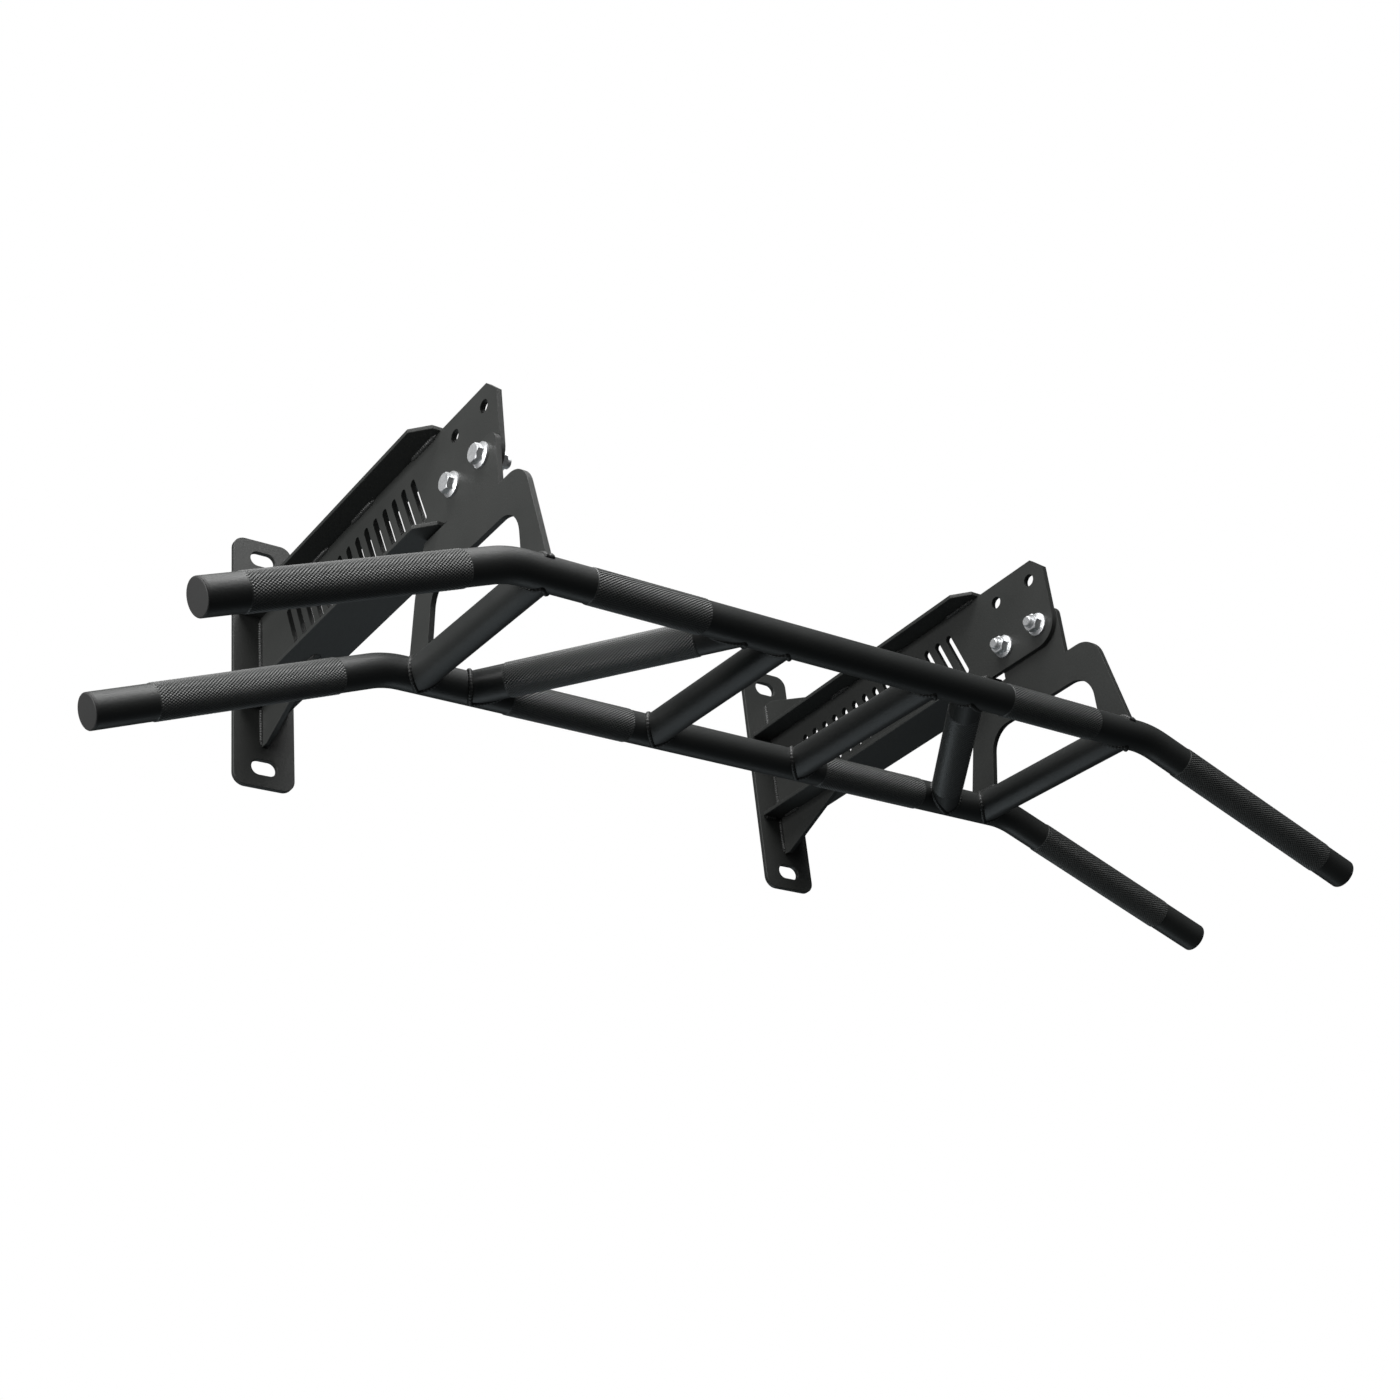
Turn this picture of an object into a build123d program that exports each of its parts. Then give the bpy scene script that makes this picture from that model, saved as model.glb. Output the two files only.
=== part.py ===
from build123d import *
import math
import os

# Wall-mounted pull-up bar with several grips, in millimetres.
# +Z is up, +Y goes into the wall, and the bars stand out towards -Y.
# The origin lies on the wall, midway between the two brackets and midway between
# the upper and the lower wall slots. Left and right are mirror images about X = 0.

# ---- driving dimensions ----
bracket_spacing = 600.0        # from the middle of one bracket arm to the other

# Wall plates, with a slot for a wall bolt near each end
plate_width = 60.0
plate_height = 260.0
plate_thickness = 5.0
plate_corner = 12.0
wall_slot_spacing = 220.0
wall_slot_length = 25.0
wall_slot_width = 15.0

# Bracket arm: an upright web between two flat flanges, with a gusset above and below
web_height = 90.0
web_thickness = 5.0
arm_reach = 430.0              # from the wall to the front edge of the web
head_chamfer = 14.0
head_round = 24.0
flange_width = 50.0
flange_thickness = 4.0
head_length = 88.0             # from the flange tips to the front edge of the web
flange_tip_chamfer = 15.0
gusset_thickness = 5.0
gusset_height = 41.0
gusset_length = 110.0
gusset_land = 9.0              # level stretch at the gusset's outer corner

# Slanted windows in the web
window_count = 15
window_pitch = 16.5
window_length = 54.0
window_width = 7.0
window_lean = 70.0
window_middle = 186.0          # from the wall to the middle window

# Bolt holes in the head: two rows, so that the bars can hang at two heights
bolt_pitch = 46.0
bolt_front_margin = 20.0       # from the front edge of the web to the front holes
upper_row = 26.0               # height of the spare row
lower_row = -23.0              # height of the row in use
bolt_hole = 12.0

# Flanged bolts and nuts, M10
thread = 10.0
bolt_length = 25.0
head_flats = 15.0
head_height = 8.6
nut_height = 10.0
collar_diameter = 22.0
collar_rim = 1.8               # height of the collar's upright edge
collar_height = 3.4            # where the collar's cone meets the hexagon
hex_bevel = 0.9

# Bars and grips
tube_diameter = 28.0
tube_wall = 2.5
front_bar_lead = 47.0          # from the front edge of the web to the front bar's centre line
bar_spacing = 186.5            # from the front bar's centre line back to the rear bar's
front_drop = 168.0             # from the origin down to the front bar's centre line
rear_drop = 161.0
end_run = 252.0                # level distance from the start of a bend to the end of the tube
end_angle = 21.0
bend_radius = 80.0             # the bends start right beside the outer grips
angled_grip_rear = 257.0       # from the middle to the grip's end on the rear bar
angled_grip_front = 119.0      # from the middle to its end on the front bar
straight_grip_offset = 77.5

# End caps
cap_lip = 2.6
cap_edge = 1.2
cap_plug = 14.0
cap_plug_wall = 2.0

# Hanger plates, bolted to the outer faces of the webs, which carry both bars
hanger_thickness = 5.0
hanger_rise = 13.0             # above the bolts in use
hanger_front_overhang = 1.5    # in front of the web's front edge
hanger_rear_margin = 11.0      # behind the rear bolt
hanger_front_round = 10.0
hanger_rear_round = 5.0
shelf_depth = 39.5             # from the bolts in use down to the hook's shelf
hook_reach = 9.5               # from the front bar's centre line back to the hook's corner
hook_round = 26.0
leg_foot = 5.0                 # the legs' feet, above the bars' centre lines
front_leg_outside = 12.5       # leg's front edge, in front of the front bar's centre line
front_leg_inside = 22.0        # leg's back edge, behind the front bar's centre line
rear_leg_outside = 10.0        # leg's back edge, behind the rear bar's centre line
rear_leg_inside = 21.0         # leg's front edge, in front of the rear bar's centre line
arch_drop = 94.5               # from the origin down to the top of the arch
arch_lean = 13.0               # the arch's rear side leans back by this much
arch_round = 25.0
flange_gap = 2.5               # between the hanger plate and the lower flange
shoulder_length = 37.0
elbow_length = 56.0            # from the hanger's rear edge to the elbow of the rear leg
elbow_drop = 93.0              # from the origin down to that elbow
elbow_round = 60.0

# ---- derived values ----
half_spacing = bracket_spacing / 2
web_top = web_height / 2
flange_outer = web_top + flange_thickness
tube_radius = tube_diameter / 2
tube_bore = tube_radius - tube_wall
flange_reach = arm_reach - head_length
front_reach = arm_reach + front_bar_lead
rear_reach = front_reach - bar_spacing
front_bolt = -(arm_reach - bolt_front_margin)
rear_bolt = front_bolt + bolt_pitch
web_inner = half_spacing - web_thickness / 2
hanger_middle = half_spacing + (web_thickness + hanger_thickness) / 2
hanger_outer = hanger_middle + hanger_thickness / 2
SIDES = (("left", -1), ("right", 1))

os.makedirs("parts", exist_ok=True)


def save(part, name):
    """Labels one finished piece and writes it to its own file."""
    part.label = name
    export_step(part, f"parts/{name}.step")


def rod(start, end, radius):
    """A solid round rod between two points."""
    with BuildPart() as solid:
        with BuildSketch(Plane(origin=start, z_dir=end - start)):
            Circle(radius)
        extrude(amount=(end - start).length)
    return solid.part


def corner(outline, y, z):
    """The outline's vertex nearest to a point of its own plane."""
    return outline.vertices().sort_by_distance(Vector(y, z))[0]


# ---- wall plates ----
for side_name, side in SIDES:
    with BuildPart() as wall_plate:
        with BuildSketch(Plane.XZ) as plate_face:
            with Locations((side * half_spacing, 0)):
                RectangleRounded(plate_width, plate_height, plate_corner)
            with Locations(
                (side * half_spacing, wall_slot_spacing / 2),
                (side * half_spacing, -wall_slot_spacing / 2),
            ):
                SlotOverall(wall_slot_length, wall_slot_width, mode=Mode.SUBTRACT)
        extrude(amount=plate_thickness)
    save(wall_plate.part, f"wall_plate_{side_name}")

# ---- webs of the bracket arms ----
for side_name, side in SIDES:
    with BuildPart() as arm_web:
        with BuildSketch(Plane.YZ.offset(side * half_spacing - web_thickness / 2)) as web_face:
            with BuildLine():
                Polyline(
                    (-plate_thickness, -web_top),
                    (-plate_thickness, web_top),
                    (-arm_reach, web_top),
                    (-arm_reach, -web_top),
                    close=True,
                )
            make_face()
            chamfer(corner(web_face, -arm_reach, web_top), head_chamfer)
            fillet(corner(web_face, -arm_reach, -web_top), head_round)
            with Locations((-window_middle, 0)):
                with GridLocations(window_pitch, 0, window_count, 1):
                    SlotOverall(window_length, window_width, window_lean, mode=Mode.SUBTRACT)
            with Locations(
                (front_bolt, upper_row), (rear_bolt, upper_row),
                (front_bolt, lower_row), (rear_bolt, lower_row),
            ):
                Circle(bolt_hole / 2, mode=Mode.SUBTRACT)
        extrude(amount=web_thickness)
    save(arm_web.part, f"arm_web_{side_name}")

# ---- flanges ----
for side_name, side in SIDES:
    for level_name, bottom in (("upper", web_top), ("lower", -flange_outer)):
        with BuildPart() as flange:
            with BuildSketch(Plane.XY.offset(bottom)) as flange_face:
                with Locations((side * half_spacing, -(plate_thickness + flange_reach) / 2)):
                    Rectangle(flange_width, flange_reach - plate_thickness)
                chamfer(flange_face.vertices().group_by(Axis.Y)[0], flange_tip_chamfer)
            extrude(amount=flange_thickness)
        save(flange.part, f"{level_name}_flange_{side_name}")

# ---- gussets between the wall plates and the flanges ----
for side_name, side in SIDES:
    for level_name, level in (("upper", 1), ("lower", -1)):
        with BuildPart() as gusset:
            with BuildSketch(Plane.YZ.offset(side * half_spacing - gusset_thickness / 2)):
                with BuildLine():
                    Polyline(
                        (-plate_thickness, level * flange_outer),
                        (-plate_thickness, level * (flange_outer + gusset_height)),
                        (-plate_thickness - gusset_land, level * (flange_outer + gusset_height)),
                        (-plate_thickness - gusset_length, level * flange_outer),
                        close=True,
                    )
                make_face()
            extrude(amount=gusset_thickness)
        save(gusset.part, f"{level_name}_gusset_{side_name}")

# ---- front and rear bars ----
# Each bar is one tube, level between its bends, with both ends turned down.
turn = math.radians(end_angle)
bend_start = hanger_middle + tube_radius
bend_end = bend_start + bend_radius * math.sin(turn)
bend_drop = bend_radius * (1 - math.cos(turn))
end_length = (bend_start + end_run - bend_end) / math.cos(turn)


def end_plane(side, reach, drop, distance):
    """The plane across a turned-down end, at a distance along it from its bend."""
    centre = Vector(side * bend_end, -reach, -drop - bend_drop)
    along = Vector(side * math.cos(turn), 0, -math.sin(turn))
    return Plane(origin=centre + along * distance, z_dir=along)


def bent_rod(reach, drop, radius):
    """A solid rod that follows a bar's centre line."""
    with BuildPart() as solid:
        with BuildSketch(Plane.YZ.offset(-bend_start)):
            with Locations((-reach, -drop)):
                Circle(radius)
        extrude(amount=2 * bend_start)
        for side_name, side in SIDES:
            with BuildSketch(Plane.YZ.offset(side * bend_start)):
                with Locations((-reach, -drop)):
                    Circle(radius)
            hub = Vector(side * bend_start, -reach, -drop - bend_radius)
            revolve(axis=Axis(hub, (0, side, 0)), revolution_arc=end_angle)
            with BuildSketch(end_plane(side, reach, drop, 0)):
                Circle(radius)
            extrude(amount=end_length)
    return solid.part


BARS = (("front", front_reach, front_drop), ("rear", rear_reach, rear_drop))
bar_rods = []
for bar_name, reach, drop in BARS:
    bar_rods.append(rod(
        Vector(-bend_end, -reach, -drop),
        Vector(bend_end, -reach, -drop),
        tube_radius,
    ))
    with BuildPart() as bar:
        add(bent_rod(reach, drop, tube_radius))
        add(bent_rod(reach, drop, tube_bore), mode=Mode.SUBTRACT)
    save(bar.part, f"{bar_name}_bar")

# ---- end caps ----
for bar_name, reach, drop in BARS:
    for side_name, side in SIDES:
        end = end_plane(side, reach, drop, end_length)
        outward = Axis(end.origin, end.z_dir)
        with BuildPart() as end_cap:
            with BuildSketch(end):
                Circle(tube_radius)
            extrude(amount=cap_lip)
            fillet(end_cap.faces().sort_by(outward)[-1].edges(), cap_edge)
            with BuildSketch(end):
                Circle(tube_bore)
                Circle(tube_bore - cap_plug_wall, mode=Mode.SUBTRACT)
            extrude(amount=-cap_plug)
        save(end_cap.part, f"{bar_name}_bar_cap_{side_name}")

# ---- grips between the bars, with their ends coped to the bars ----
GRIPS = (
    ("outer_grip", hanger_middle, hanger_middle),
    ("angled_grip", angled_grip_rear, angled_grip_front),
    ("straight_grip", straight_grip_offset, straight_grip_offset),
)
for grip_name, rear_x, front_x in GRIPS:
    for side_name, side in SIDES:
        rear_end = Vector(side * rear_x, -rear_reach, -rear_drop)
        front_end = Vector(side * front_x, -front_reach, -front_drop)
        with BuildPart() as grip:
            add(rod(rear_end, front_end, tube_radius))
            add(bar_rods, mode=Mode.SUBTRACT)
            add(rod(rear_end, front_end, tube_bore), mode=Mode.SUBTRACT)
        save(grip.part, f"{grip_name}_{side_name}")

# ---- hanger plates, with their legs coped to the bars and to the outer grips ----
hanger_top = lower_row + hanger_rise
hanger_front = -(arm_reach + hanger_front_overhang)
hanger_rear = rear_bolt + hanger_rear_margin
shelf = lower_row - shelf_depth
hook_corner = -(front_reach - hook_reach)
rear_arch = -(rear_reach + rear_leg_inside)
shoulder = -(flange_outer + flange_gap)
for side_name, side in SIDES:
    with BuildPart() as hanger_plate:
        with BuildSketch(Plane.YZ.offset(side * hanger_middle - hanger_thickness / 2)) as hanger_face:
            with BuildLine():
                Polyline(
                    (hanger_rear, hanger_top),
                    (hanger_front, hanger_top),
                    (hanger_front, shelf),
                    (hook_corner, shelf),
                    (-(front_reach + front_leg_outside), leg_foot - front_drop),
                    (-(front_reach - front_leg_inside), leg_foot - front_drop),
                    (-(front_reach - front_leg_inside), -arch_drop),
                    (rear_arch - arch_lean, -arch_drop),
                    (rear_arch, leg_foot - rear_drop),
                    (-(rear_reach - rear_leg_outside), leg_foot - rear_drop),
                    (hanger_rear + elbow_length, -elbow_drop),
                    (hanger_rear + shoulder_length, shoulder),
                    (hanger_rear, shoulder),
                    close=True,
                )
            make_face()
            fillet(corner(hanger_face, hanger_front, hanger_top), hanger_front_round)
            fillet(corner(hanger_face, hanger_rear, hanger_top), hanger_rear_round)
            fillet(corner(hanger_face, hook_corner, shelf), hook_round)
            fillet(corner(hanger_face, front_leg_inside - front_reach, -arch_drop), arch_round)
            fillet(corner(hanger_face, rear_arch - arch_lean, -arch_drop), arch_round)
            fillet(corner(hanger_face, hanger_rear + elbow_length, -elbow_drop), elbow_round)
            with Locations((front_bolt, lower_row), (rear_bolt, lower_row)):
                Circle(bolt_hole / 2, mode=Mode.SUBTRACT)
        extrude(amount=hanger_thickness)
        add(bar_rods, mode=Mode.SUBTRACT)
        add(
            rod(
                Vector(side * hanger_middle, -rear_reach, -rear_drop),
                Vector(side * hanger_middle, -front_reach, -front_drop),
                tube_radius,
            ),
            mode=Mode.SUBTRACT,
        )
    save(hanger_plate.part, f"hanger_plate_{side_name}")

# ---- clamping bolts and nuts ----
# One bolt and one nut are made about the Z axis, then set at the four holes.
hex_corner = head_flats / math.sqrt(3)


def flanged_hexagon(height):
    """A hexagon with bevelled corners and a round collar, standing on the XY plane."""
    with BuildPart() as hexagon:
        with BuildSketch():
            RegularPolygon(head_flats / 2, 6, major_radius=False)
        extrude(amount=height)
        with BuildSketch(Plane.XZ):
            with BuildLine():
                Polyline(
                    (0, 0),
                    (hex_corner, 0),
                    (hex_corner, height - hex_bevel),
                    (head_flats / 2, height),
                    (0, height),
                    close=True,
                )
            make_face()
        revolve(axis=Axis.Z, mode=Mode.INTERSECT)
        with BuildSketch(Plane.XZ):
            with BuildLine():
                Polyline(
                    (0, 0),
                    (collar_diameter / 2, 0),
                    (collar_diameter / 2, collar_rim),
                    (head_flats / 2, collar_height),
                    (0, collar_height),
                    close=True,
                )
            make_face()
        revolve(axis=Axis.Z)
    return hexagon.part


with BuildPart() as bolt:
    add(flanged_hexagon(head_height))
    with BuildSketch():
        Circle(thread / 2)
    extrude(amount=-bolt_length)
    chamfer(bolt.faces().sort_by(Axis.Z)[0].edges(), hex_bevel)

with BuildPart() as nut:
    add(flanged_hexagon(nut_height))
    with BuildSketch():
        Circle(thread / 2)
    extrude(amount=nut_height, mode=Mode.SUBTRACT)

bolt_seats = []
nut_seats = []
for side_name, side in SIDES:
    for bolt_y in (front_bolt, rear_bolt):
        head_seat = Vector(side * hanger_outer, bolt_y, lower_row)
        nut_seat = Vector(side * web_inner, bolt_y, lower_row)
        bolt_seats.append(Plane(origin=head_seat, x_dir=(0, 1, 0), z_dir=(side, 0, 0)))
        nut_seats.append(Plane(origin=nut_seat, x_dir=(0, 1, 0), z_dir=(-side, 0, 0)))

with BuildPart() as clamp_bolts:
    with Locations(*bolt_seats):
        add(bolt.part)
save(clamp_bolts.part, "clamp_bolts")

with BuildPart() as clamp_nuts:
    with Locations(*nut_seats):
        add(nut.part)
save(clamp_nuts.part, "clamp_nuts")
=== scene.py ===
import math

import bmesh
import bpy
from mathutils import Matrix, Vector


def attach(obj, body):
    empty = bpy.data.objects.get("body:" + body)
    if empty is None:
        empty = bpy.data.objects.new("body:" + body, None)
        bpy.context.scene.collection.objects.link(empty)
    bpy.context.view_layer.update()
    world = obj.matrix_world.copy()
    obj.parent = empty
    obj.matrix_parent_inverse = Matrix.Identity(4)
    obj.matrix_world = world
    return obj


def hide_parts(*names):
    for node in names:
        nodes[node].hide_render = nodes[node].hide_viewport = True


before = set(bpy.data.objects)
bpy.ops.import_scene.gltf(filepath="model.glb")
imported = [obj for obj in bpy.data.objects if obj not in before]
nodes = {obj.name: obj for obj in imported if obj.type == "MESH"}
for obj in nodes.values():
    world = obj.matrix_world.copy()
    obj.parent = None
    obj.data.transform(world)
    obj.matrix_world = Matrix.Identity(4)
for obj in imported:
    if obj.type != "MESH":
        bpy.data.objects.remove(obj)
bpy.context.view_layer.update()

# ---- sizes of the steelwork, in metres ----
MM = 0.001
TUBE = 14.0 * MM                                  # outside radius of every tube
FRONT = Vector((0.0, -477.0, -168.0)) * MM        # middle of the front bar
REAR = Vector((0.0, -290.5, -161.0)) * MM         # middle of the rear bar
BEND_RADIUS = 80.0 * MM
BEND_ANGLE = math.radians(21.0)
BAR_END = 571.0 * MM
HANGER = 305.0 * MM                               # middle of a hanger plate
BEND_START = HANGER + TUBE                        # the bends start beside the outer grips
BEND_VERTEX = BEND_START + BEND_RADIUS * math.tan(BEND_ANGLE / 2)
WEB = 300.0 * MM                                  # middle of a bracket arm's web
FLANGE = 45.0 * MM                                # from the arm's middle to its flanges
FLANGE_OUTER = 49.0 * MM                          # from the arm's middle to their outer faces
PLATE = 5.0 * MM                                  # wall plate, web and hanger thickness
SIDES = (("left", -1), ("right", 1))
# Millimetres from the middle to each grip's end on the rear bar and on the front bar
GRIPS = {"outer": (305.0, 305.0), "angled": (257.0, 119.0), "straight": (77.5, 77.5)}
UP = Vector((0, 0, 1))


# ---- shared surface effects ----
def group(name, inputs, outputs):
    """A new shader group with its input and output nodes."""
    tree = bpy.data.node_groups.new(name, "ShaderNodeTree")
    for label, kind, value in inputs:
        socket = tree.interface.new_socket(label, in_out="INPUT", socket_type=kind)
        socket.default_value = value
    for label, kind in outputs:
        tree.interface.new_socket(label, in_out="OUTPUT", socket_type=kind)
    return tree, tree.nodes.new("NodeGroupInput"), tree.nodes.new("NodeGroupOutput")


def math_node(tree, operation, first, second):
    """One sum on two numbers or outputs."""
    made = tree.nodes.new("ShaderNodeMath")
    made.operation = operation
    for slot, value in enumerate((first, second)):
        if isinstance(value, (int, float)):
            made.inputs[slot].default_value = value
        else:
            tree.links.new(value, made.inputs[slot])
    return made.outputs[0]


def noise(tree, place, scale, detail=3.0, roughness=0.5, distortion=0.0):
    """A cloudy pattern."""
    made = tree.nodes.new("ShaderNodeTexNoise")
    made.inputs["Scale"].default_value = scale
    made.inputs["Detail"].default_value = detail
    made.inputs["Roughness"].default_value = roughness
    made.inputs["Distortion"].default_value = distortion
    tree.links.new(place, made.inputs["Vector"])
    return made.outputs["Fac"]


def spread(tree, value, low, high, to_low=0.0, to_high=1.0):
    """Stretches one range of a value over another."""
    made = tree.nodes.new("ShaderNodeMapRange")
    for slot, number in zip(("From Min", "From Max", "To Min", "To Max"), (low, high, to_low, to_high)):
        made.inputs[slot].default_value = number
    tree.links.new(value, made.inputs["Value"])
    return made.outputs["Result"]


def mix_colour(tree, share, first, second):
    """A blend of two colours."""
    made = tree.nodes.new("ShaderNodeMix")
    made.data_type = "RGBA"
    tree.links.new(share, made.inputs["Factor"])
    for slot, value in ((6, first), (7, second)):
        if isinstance(value, tuple):
            made.inputs[slot].default_value = value
        else:
            tree.links.new(value, made.inputs[slot])
    return made.outputs[2]


def powder_coat_group():
    """Orange peel, fine grit, faint dust and scuffs of a baked powder coat."""
    tree, given, out = group(
        "powder_coat",
        (("Coat", "NodeSocketColor", (0.03, 0.03, 0.03, 1)),
         ("Dust", "NodeSocketColor", (0.12, 0.12, 0.115, 1)),
         ("Dust amount", "NodeSocketFloat", 0.2),
         ("Roughness", "NodeSocketFloat", 0.45),
         ("Peel", "NodeSocketFloat", 1.0)),
        (("Color", "NodeSocketColor"), ("Roughness", "NodeSocketFloat"), ("Height", "NodeSocketFloat")),
    )
    place = tree.nodes.new("ShaderNodeTexCoord").outputs["Object"]
    peel = noise(tree, place, 520, 2.0, 0.45)
    grit = noise(tree, place, 2600, 2.0, 0.6)
    cloud = noise(tree, place, 9, 4.0, 0.6)
    speck = spread(tree, noise(tree, place, 760, 3.0, 0.7), 0.66, 0.74)
    streak_map = tree.nodes.new("ShaderNodeMapping")
    streak_map.inputs["Scale"].default_value = (1.0, 0.22, 1.0)
    tree.links.new(place, streak_map.inputs["Vector"])
    scuff = spread(tree, noise(tree, streak_map.outputs[0], 150, 5.0, 0.75, 0.6), 0.62, 0.72)
    dusty = math_node(tree, "MULTIPLY", spread(tree, cloud, 0.35, 0.75), given.outputs["Dust amount"])
    marks = math_node(tree, "MAXIMUM", speck, scuff)
    marks = math_node(tree, "MULTIPLY", marks, given.outputs["Dust amount"])
    faint_marks = math_node(tree, "MULTIPLY", marks, 0.35)
    share = math_node(tree, "ADD", math_node(tree, "MULTIPLY", dusty, 0.5), faint_marks)
    colour = mix_colour(tree, share, given.outputs["Coat"], given.outputs["Dust"])
    tree.links.new(colour, out.inputs["Color"])
    rough = math_node(tree, "ADD", given.outputs["Roughness"], spread(tree, cloud, 0.3, 0.7, -0.04, 0.05))
    rough = math_node(tree, "ADD", rough, math_node(tree, "MULTIPLY", marks, 0.3))
    tree.links.new(rough, out.inputs["Roughness"])
    height = math_node(tree, "MULTIPLY", peel, given.outputs["Peel"])
    height = math_node(tree, "ADD", height, math_node(tree, "MULTIPLY", grit, 0.35))
    tree.links.new(height, out.inputs["Height"])
    return tree


def zinc_group():
    """Bright zinc: a soft spangle, fine drawn scratches and dull spots."""
    tree, given, out = group(
        "bright_zinc",
        (("Bright", "NodeSocketColor", (0.92, 0.93, 0.94, 1)),
         ("Dull", "NodeSocketColor", (0.70, 0.71, 0.72, 1))),
        (("Color", "NodeSocketColor"), ("Roughness", "NodeSocketFloat"), ("Height", "NodeSocketFloat")),
    )
    place = tree.nodes.new("ShaderNodeTexCoord").outputs["Object"]
    spangle = spread(tree, noise(tree, place, 900, 2.0, 0.4), 0.4, 0.65)
    scratch_map = tree.nodes.new("ShaderNodeMapping")
    scratch_map.inputs["Scale"].default_value = (1.0, 0.08, 1.0)
    tree.links.new(place, scratch_map.inputs["Vector"])
    scratch = noise(tree, scratch_map.outputs[0], 5200, 2.0, 0.7)
    colour = mix_colour(tree, spangle, given.outputs["Bright"], given.outputs["Dull"])
    tree.links.new(colour, out.inputs["Color"])
    rough = spread(tree, spangle, 0, 1, 0.42, 0.55)
    rough = math_node(tree, "ADD", rough, spread(tree, scratch, 0.3, 0.7, -0.03, 0.06))
    tree.links.new(rough, out.inputs["Roughness"])
    height = math_node(tree, "MULTIPLY", spangle, 0.5)
    height = math_node(tree, "ADD", height, math_node(tree, "MULTIPLY", scratch, 0.6))
    tree.links.new(height, out.inputs["Height"])
    return tree


POWDER = powder_coat_group()
ZINC = zinc_group()


def surface(name, effect, bump, metallic=0.0, values=None):
    """A material whose colour, roughness and grain come from a shared effect."""
    material = bpy.data.materials.new(name)
    material.use_nodes = True
    tree = material.node_tree
    shader = tree.nodes["Principled BSDF"]
    shader.inputs["Metallic"].default_value = metallic
    placed = tree.nodes.new("ShaderNodeGroup")
    placed.node_tree = effect
    for key, value in (values or {}).items():
        placed.inputs[key].default_value = value
    relief = tree.nodes.new("ShaderNodeBump")
    relief.inputs["Strength"].default_value = 1.0
    relief.inputs["Distance"].default_value = bump
    tree.links.new(placed.outputs["Color"], shader.inputs["Base Color"])
    tree.links.new(placed.outputs["Roughness"], shader.inputs["Roughness"])
    tree.links.new(placed.outputs["Height"], relief.inputs["Height"])
    tree.links.new(relief.outputs["Normal"], shader.inputs["Normal"])
    return material


BRACKET_PAINT = surface("bracket_powder_coat", POWDER, 0.00012, values={
    "Coat": (0.036, 0.038, 0.036, 1), "Dust": (0.10, 0.10, 0.095, 1),
    "Dust amount": 0.16, "Roughness": 0.47})
BAR_PAINT = surface("bar_powder_coat", POWDER, 0.00010, values={
    "Coat": (0.034, 0.036, 0.035, 1), "Dust": (0.11, 0.11, 0.105, 1),
    "Dust amount": 0.14, "Roughness": 0.43})
# The same black powder coat as the bars, with the coat and dust colours painted lighter and more dust mixed
# in. This is a painted highlight that stands in for the light falling on the knurled stretches.
KNURL_COAT_PAINTED_LIGHT = surface("knurled_coat_painted_light", POWDER, 0.00006, values={
    "Coat": (0.085, 0.088, 0.086, 1), "Dust": (0.22, 0.22, 0.21, 1),
    "Dust amount": 0.26, "Roughness": 0.36, "Peel": 0.4})
WELD_PAINT = surface("coated_weld", POWDER, 0.00022, values={
    "Coat": (0.040, 0.041, 0.040, 1), "Dust": (0.14, 0.14, 0.135, 1),
    "Dust amount": 0.25, "Roughness": 0.40, "Peel": 1.6})
CAP_PLASTIC = surface("cap_plastic", POWDER, 0.00005, values={
    "Coat": (0.030, 0.030, 0.030, 1), "Dust": (0.09, 0.09, 0.085, 1),
    "Dust amount": 0.20, "Roughness": 0.55, "Peel": 0.5})
BRIGHT_ZINC = surface("bright_zinc", ZINC, 0.00003, metallic=1.0)


# ---- making pieces ----
def finish(name, bm, material, replaced=(), smooth=math.radians(35)):
    """Turns a finished mesh into a piece that rides with the frame."""
    bmesh.ops.recalc_face_normals(bm, faces=bm.faces)
    mesh = bpy.data.meshes.new(name)
    bm.to_mesh(mesh)
    bm.free()
    mesh.materials.append(material)
    for face in mesh.polygons:
        face.use_smooth = True
    mesh.set_sharp_from_angle(angle=smooth)
    piece = bpy.data.objects.new(name, mesh)
    bpy.context.scene.collection.objects.link(piece)
    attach(piece, "root")
    if replaced:
        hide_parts(*replaced)
    return piece


def rounded_plate(name):
    """The cut plate with its sharp edges broken, as they are under a powder coat."""
    edge = 0.6 * MM
    bm = bmesh.new()
    bm.from_mesh(nodes[name].data)
    bmesh.ops.remove_doubles(bm, verts=bm.verts, dist=1e-6)
    bmesh.ops.dissolve_limit(bm, angle_limit=math.radians(0.5), verts=bm.verts, edges=bm.edges)
    sharp = [e for e in bm.edges if len(e.link_faces) == 2 and e.calc_face_angle() > math.radians(30)]
    bmesh.ops.bevel(bm, geom=sharp, offset=edge, offset_type="OFFSET", segments=2, profile=0.5,
                    affect="EDGES", clamp_overlap=True, material=-1)
    piece = finish(name + "_rounded", bm, BRACKET_PAINT, (name,))
    weighted = piece.modifiers.new("even shading", "WEIGHTED_NORMAL")
    weighted.keep_sharp = True


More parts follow.
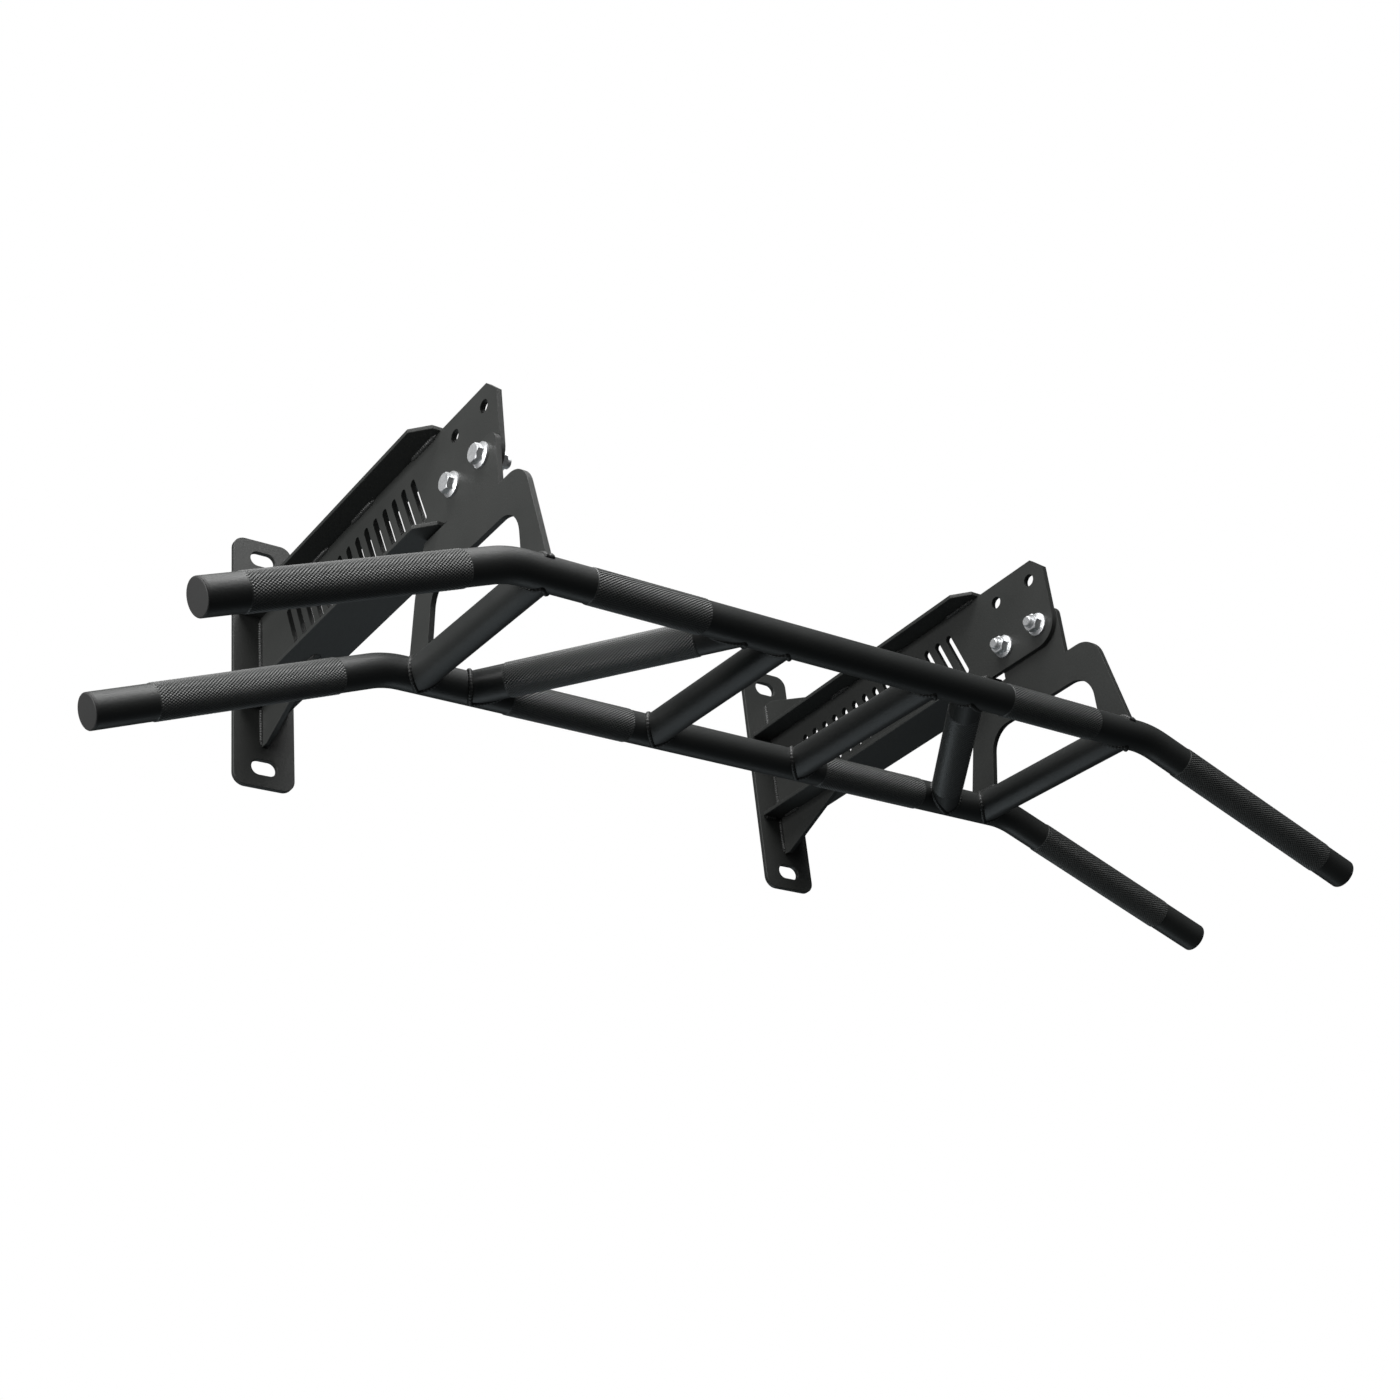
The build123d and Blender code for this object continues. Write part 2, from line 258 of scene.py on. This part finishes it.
def bent_bar(name, middle):
    """One tube: down-turned end, bend, level run, bend, down-turned end."""
    bm = bmesh.new()
    rising = Vector((math.cos(BEND_ANGLE), 0, math.sin(BEND_ANGLE)))
    falling = Vector((math.cos(BEND_ANGLE), 0, -math.sin(BEND_ANGLE)))
    bend_drop = BEND_RADIUS * (1 - math.cos(BEND_ANGLE))
    bend_end = Vector((-BEND_START - BEND_RADIUS * math.sin(BEND_ANGLE), 0, -bend_drop))
    length = (BAR_END + bend_end.x) / math.cos(BEND_ANGLE)
    start = Matrix.Translation(middle + bend_end - rising * length)
    facing = rising.to_track_quat("Z", "Y").to_matrix().to_4x4()
    bmesh.ops.create_circle(bm, cap_ends=True, segments=96, radius=TUBE, matrix=start @ facing)

    def end_face(geometry):
        return next(g for g in geometry if isinstance(g, bmesh.types.BMFace))

    def clear(face):
        """Takes out an old end face, which now lies inside the tube."""
        if face.is_valid:
            bmesh.ops.delete(bm, geom=[face], context="FACES_ONLY")

    def run(face, distance, direction):
        """Draws the tube out straight from its end face."""
        grown = bmesh.ops.extrude_face_region(bm, geom=[face])["geom"]
        verts = [g for g in grown if isinstance(g, bmesh.types.BMVert)]
        bmesh.ops.translate(bm, verts=verts, vec=direction * distance)
        return end_face(grown)

    def bend(face, hub):
        """Sweeps the tube's end face round a hub."""
        swept = bmesh.ops.spin(bm, geom=[face], cent=hub, axis=(0, 1, 0), angle=BEND_ANGLE, steps=14)
        new = end_face(swept["geom_last"])
        clear(face)
        return new

    face = run(bm.faces[:][0], length, rising)
    face = bend(face, middle + Vector((-BEND_START, 0, -BEND_RADIUS)))
    level = run(face, 2 * BEND_START, Vector((1, 0, 0)))
    clear(face)
    face = bend(level, middle + Vector((BEND_START, 0, -BEND_RADIUS)))
    run(face, length, falling)
    clear(face)
    finish(name + "_tube", bm, BAR_PAINT, (name,))


def reach_to_bar(along, rim):
    """How far along a grip a point of its rim meets the bar's surface."""
    a = along.y ** 2 + along.z ** 2
    b = rim.y * along.y + rim.z * along.z
    c = rim.y ** 2 + rim.z ** 2 - TUBE ** 2
    return (-b + math.sqrt(max(b * b - a * c, 0.0))) / a


def grip_ends(kind, side):
    """A grip's two ends on the bars' centre lines, and its direction."""
    rear_x, front_x = GRIPS[kind]
    rear = REAR + Vector((side * rear_x * MM, 0, 0))
    front = FRONT + Vector((side * front_x * MM, 0, 0))
    return rear, front, (front - rear).normalized()


def across(along):
    """Two directions square to a tube: one level, one upright."""
    level = along.cross(UP).normalized()
    return level, level.cross(along).normalized()


def coped_grip(kind, side_name, side):
    """A tube between the bars, each end shaped to sit against its bar."""
    rear, front, along = grip_ends(kind, side)
    bm = bmesh.new()
    facing = along.to_track_quat("Z", "Y").to_matrix().to_4x4()
    middle = (rear + front) / 2
    bmesh.ops.create_cone(bm, cap_ends=True, segments=96, radius1=TUBE, radius2=TUBE,
                          depth=(front - rear).length, matrix=Matrix.Translation(middle) @ facing)
    for vert in bm.verts:
        if (vert.co - middle).dot(along) < 0:
            vert.co += along * reach_to_bar(along, vert.co - rear)
        else:
            vert.co -= along * reach_to_bar(-along, vert.co - front)
    name = f"{kind}_grip_{side_name}"
    finish(name + "_tube", bm, BAR_PAINT, (name,))


def knurl(name, start, along, length):
    """Diamond knurling rolled into a stretch of tube: two crossing families of ridges."""
    ridges = 40                     # round the tube, in each family
    lead = 3.4 * MM                 # along the tube, over four rows of points
    deep = 0.46 * MM
    cross = 0.20 * MM
    root = TUBE + 0.02 * MM
    steps = 4 * round(length / lead)
    bm = bmesh.new()
    bmesh.ops.create_grid(bm, x_segments=steps, y_segments=2 * ridges, size=0.5)
    facing = along.to_track_quat("X", "Z").to_matrix().to_4x4()
    for vert in bm.verts:
        step = round((vert.co.x + 0.5) * steps)
        row = round((vert.co.y + 0.5) * 2 * ridges)
        end = step in (0, steps)
        radius = root + (0 if end else deep * ((step + row) % 2) + cross * (row % 2))
        angle = 2 * math.pi * (row / 2 + step / 4) / ridges
        vert.co = Vector((step / steps * length, radius * math.cos(angle), radius * math.sin(angle)))
    bmesh.ops.remove_doubles(bm, verts=bm.verts, dist=1e-6)
    bmesh.ops.triangulate(bm, faces=bm.faces, quad_method="ALTERNATE")
    bmesh.ops.holes_fill(bm, edges=[e for e in bm.edges if e.is_boundary], sides=0)
    bmesh.ops.transform(bm, matrix=Matrix.Translation(start) @ facing, verts=bm.verts)
    # The knurl takes the coat with painted light, which is lighter than the plain tube's coat.
    finish(name, bm, KNURL_COAT_PAINTED_LIGHT, smooth=math.radians(12))


def bead(points, radius, closed=False):
    """A weld bead along a path, swelling and narrowing like a row of coins."""
    ripple = 0.10
    beat = 2.6 * MM
    path = [Vector(p) for p in points]
    if closed:
        path.append(path[0])
    lengths = [0.0]
    for a, b in zip(path, path[1:]):
        lengths.append(lengths[-1] + (b - a).length)
    total = lengths[-1]
    count = max(8, int(total / (0.65 * MM)))
    curve = bpy.data.curves.new("weld", "CURVE")
    curve.dimensions = "3D"
    curve.bevel_depth = radius
    curve.bevel_resolution = 3
    curve.use_fill_caps = True
    spline = curve.splines.new("POLY")
    samples = count if closed else count + 1
    spline.points.add(samples - 1)
    spline.use_cyclic_u = closed
    at = 0
    for index in range(samples):
        distance = total * index / count
        while at < len(lengths) - 2 and lengths[at + 1] < distance:
            at += 1
        share = (distance - lengths[at]) / max(lengths[at + 1] - lengths[at], 1e-9)
        spline.points[index].co = (*path[at].lerp(path[at + 1], share), 1)
        swell = 1 + ripple * math.sin(2 * math.pi * distance / beat) + 0.05 * math.sin(distance / (7.3 * MM))
        taper = 1 if closed else min(1, 0.35 + min(distance, total - distance) / (2.2 * radius))
        spline.points[index].radius = swell * taper
    maker = bpy.data.objects.new("weld_path", curve)
    bpy.context.scene.collection.objects.link(maker)
    bpy.context.view_layer.update()
    solid = bpy.data.meshes.new_from_object(maker.evaluated_get(bpy.context.evaluated_depsgraph_get()))
    bpy.data.objects.remove(maker)
    bm = bmesh.new()
    bm.from_mesh(solid)
    bpy.data.meshes.remove(solid)
    bmesh.ops.remove_doubles(bm, verts=bm.verts, dist=1e-7)
    return bm


def join(parts):
    """Several closed meshes in one."""
    whole = bmesh.new()
    for part in parts:
        mesh = bpy.data.meshes.new("joined")
        part.to_mesh(mesh)
        part.free()
        whole.from_mesh(mesh)
        bpy.data.meshes.remove(mesh)
    return whole


# ---- bars and grips ----
bent_bar("front_bar", FRONT)
bent_bar("rear_bar", REAR)
for side_name, side in SIDES:
    for kind in GRIPS:
        coped_grip(kind, side_name, side)


# ---- knurled stretches ----
def arm_point(middle, side, x):
    """A point on a bar's centre line where it turns down, at a distance from the middle."""
    return middle + Vector((side * x, 0, -(x - BEND_VERTEX) * math.tan(BEND_ANGLE)))


# From the middle to the near and the far end of each knurled arm
KNURLED_ARMS = (("front", FRONT, 373 * MM, 543 * MM), ("rear", REAR, 376 * MM, 526 * MM))
# From the middle to the outer end of each knurled level stretch, and its length
KNURLED_LEVELS = (("front", FRONT, 264 * MM, 105 * MM), ("rear", REAR, 222 * MM, 118 * MM))
PLAIN_REAR = 34 * MM                # smooth ends of an angled grip
PLAIN_FRONT = 38 * MM

for bar_name, middle, near, far in KNURLED_ARMS:
    for side_name, side in SIDES:
        begin = arm_point(middle, side, near)
        end = arm_point(middle, side, far)
        knurl(f"{bar_name}_arm_knurl_{side_name}", begin, (end - begin).normalized(), (end - begin).length)
for side_name, side in SIDES:
    for bar_name, middle, outer, length in KNURLED_LEVELS:
        begin = middle + Vector((side * outer, 0, 0))
        knurl(f"{bar_name}_middle_knurl_{side_name}", begin, Vector((-side, 0, 0)), length)
    rear, front, along = grip_ends("angled", side)
    length = (front - rear).length - PLAIN_REAR - PLAIN_FRONT
    knurl(f"angled_grip_knurl_{side_name}", rear + along * PLAIN_REAR, along, length)

# ---- welds ----
STAND_OFF = 0.2 * MM                # from a plate's face to the middle of its bead
WALL_FACE = -PLATE - STAND_OFF
FLANGE_FACE = FLANGE_OUTER + STAND_OFF
FLANGE_EDGE = 24 * MM               # from the arm's middle, on the wall plate
FLANGE_TACK = 17 * MM
LEG_FEET = ((-489 * MM, -455 * MM), (-313.5 * MM, -281.5 * MM))
WEB_STITCHES = ((-336 * MM, -294 * MM), (-228 * MM, -186 * MM), (-142 * MM, -112 * MM))
GUSSET_STITCHES = ((-14 * MM, -38 * MM), (-86 * MM, -112 * MM))
GUSSET_RISE = (50 * MM, 88 * MM)
WEB_RISE = 43 * MM

for side_name, side in SIDES:
    for kind in GRIPS:
        rear, front, along = grip_ends(kind, side)
        level, upright = across(along)
        loops = []
        for origin, way in ((rear, along), (front, -along)):
            loop = []
            for step in range(72):
                turn = 2 * math.pi * step / 72
                rim = TUBE * (math.cos(turn) * level + math.sin(turn) * upright)
                loop.append(origin + rim + way * (reach_to_bar(way, rim) - 0.2 * MM))
            loops.append(bead(loop, 2.1 * MM, closed=True))
        finish(f"{kind}_grip_welds_{side_name}", join(loops), WELD_PAINT)


def leg_line(face_x, y_from, y_to):
    """Where a hanger leg's face meets the tubes below it."""
    steps = 24
    line = []
    for step in range(steps + 1):
        y = y_from + (y_to - y_from) * step / steps
        heights = []
        for middle in (FRONT, REAR):
            if abs(y - middle.y) < TUBE:
                heights.append(middle.z + math.sqrt(TUBE ** 2 - (y - middle.y) ** 2))
        if FRONT.y < y < REAR.y:
            share = (y - REAR.y) / (FRONT.y - REAR.y)
            heights.append(REAR.z + (FRONT.z - REAR.z) * share + TUBE)
        line.append(Vector((face_x, y, max(heights))))
    return line


def hanger_leg_beads(side):
    """A bead right round each foot of a hanger plate."""
    offset = PLATE / 2 + STAND_OFF
    beads = []
    for y_from, y_to in LEG_FEET:
        inner = leg_line(side * (HANGER - offset), y_from, y_to)
        outer = leg_line(side * (HANGER + offset), y_from, y_to)
        beads.append(bead(inner + outer[::-1], 2.0 * MM, closed=True))
    return beads


def bracket_beads(side):
    """The short runs of weld on one bracket arm, its gussets and its wall plate."""
    beads = []
    for face in (-1, 1):
        x = side * WEB + face * PLATE / 2
        for level in (-1, 1):
            seat = level * (FLANGE - 0.3 * MM)
            outside = level * FLANGE_FACE
            for y_from, y_to in WEB_STITCHES:
                beads.append(bead([(x, y_from, seat), (x, y_to, seat)], 2.6 * MM))
            low, high = GUSSET_RISE
            beads.append(bead([(x, WALL_FACE, level * low), (x, WALL_FACE, level * high)], 2.3 * MM))
            for y_from, y_to in GUSSET_STITCHES:
                beads.append(bead([(x, y_from, outside), (x, y_to, outside)], 2.2 * MM))
        beads.append(bead([(x, WALL_FACE, -WEB_RISE), (x, WALL_FACE, WEB_RISE)], 2.6 * MM))
    for level in (-1, 1):
        outside = level * FLANGE_FACE
        for face in (-1, 1):
            x = side * WEB + face * FLANGE_EDGE
            tack_end = x - face * FLANGE_TACK
            beads.append(bead([(x, WALL_FACE, outside), (tack_end, WALL_FACE, outside)], 2.3 * MM))
    return beads


for side_name, side in SIDES:
    finish(f"hanger_leg_welds_{side_name}", join(hanger_leg_beads(side)), WELD_PAINT)
    finish(f"bracket_welds_{side_name}", join(bracket_beads(side)), WELD_PAINT)

# ---- plates with broken edges ----
PLATES = (
    "wall_plate", "arm_web", "upper_flange", "lower_flange",
    "upper_gusset", "lower_gusset", "hanger_plate",
)
for side_name, side in SIDES:
    for name in PLATES:
        rounded_plate(f"{name}_{side_name}")

# ---- finishes on the parts kept from the frame ----
def paint(name, material):
    """Gives a part of the frame its one finish."""
    mesh = nodes[name].data
    mesh.materials.clear()
    mesh.materials.append(material)


for name in ("clamp_bolts", "clamp_nuts"):
    paint(name, BRIGHT_ZINC)
for bar_name in ("front", "rear"):
    for side_name, side in SIDES:
        paint(f"{bar_name}_bar_cap_{side_name}", CAP_PLASTIC)

# ---- floor, light and camera ----
bm = bmesh.new()
bmesh.ops.create_grid(bm, x_segments=1, y_segments=1, size=14.0)
bmesh.ops.translate(bm, verts=bm.verts, vec=(0, 0, -2.15))
floor_mesh = bpy.data.meshes.new("floor")
bm.to_mesh(floor_mesh)
bm.free()
floor = bpy.data.objects.new("floor", floor_mesh)
bpy.context.scene.collection.objects.link(floor)
pale = bpy.data.materials.new("pale_floor")
pale.use_nodes = True
pale.node_tree.nodes["Principled BSDF"].inputs["Base Color"].default_value = (0.82, 0.82, 0.81, 1)
pale.node_tree.nodes["Principled BSDF"].inputs["Roughness"].default_value = 0.9
floor_mesh.materials.append(pale)
floor.visible_diffuse = False
floor.visible_glossy = False


def soft_light(name, place, aim, size, power, colour=(1, 1, 1)):
    """A broad lamp at one place, turned towards another."""
    lamp = bpy.data.lights.new(name, "AREA")
    lamp.shape = "RECTANGLE"
    lamp.size, lamp.size_y = size
    lamp.energy = power
    lamp.color = colour
    holder = bpy.data.objects.new(name, lamp)
    holder.location = place
    holder.rotation_mode = "QUATERNION"
    holder.rotation_quaternion = (Vector(aim) - Vector(place)).to_track_quat("-Z", "Y")
    bpy.context.scene.collection.objects.link(holder)


CENTRE = (0, -0.3, -0.1)
soft_light("front_high", (-0.6, -1.3, 2.0), (-0.2, -0.3, -0.1), (2.4, 0.8), 50)
soft_light("front_top", (-0.2, -2.3, 1.3), CENTRE, (1.6, 1.0), 17)
soft_light("left", (-2.2, -0.3, 0.2), CENTRE, (1.2, 1.2), 36)
soft_light("top", (0, -0.3, 2.0), CENTRE, (1.6, 1.6), 16)
soft_light("behind_below", (0, 0.9, -1.6), CENTRE, (2.4, 0.8), 6, (0.85, 0.95, 1.0))

world = bpy.data.worlds.new("studio")
bpy.context.scene.world = world
world.use_nodes = True
tree = world.node_tree
tree.nodes.clear()
seen = tree.nodes.new("ShaderNodeBackground")
seen.inputs["Color"].default_value = (1, 1, 1, 1)
lit = tree.nodes.new("ShaderNodeBackground")
lit.inputs["Color"].default_value = (0.90, 0.96, 1.0, 1)
lit.inputs["Strength"].default_value = 0.03
ray = tree.nodes.new("ShaderNodeLightPath")
mixed = tree.nodes.new("ShaderNodeMixShader")
sky = tree.nodes.new("ShaderNodeOutputWorld")
tree.links.new(ray.outputs["Is Camera Ray"], mixed.inputs["Fac"])
tree.links.new(lit.outputs[0], mixed.inputs[1])
tree.links.new(seen.outputs[0], mixed.inputs[2])
tree.links.new(mixed.outputs[0], sky.inputs["Surface"])
bpy.context.scene.view_settings.view_transform = "Standard"

eye = bpy.data.cameras.new("camera")
eye.sensor_width = 36
eye.lens = 55.22
camera = bpy.data.objects.new("camera", eye)
camera.location = (-1.0631, -1.5914, -0.9954)
camera.rotation_euler = [math.radians(a) for a in (117.93, 5.78, -35.63)]
bpy.context.scene.collection.objects.link(camera)
bpy.context.scene.camera = camera
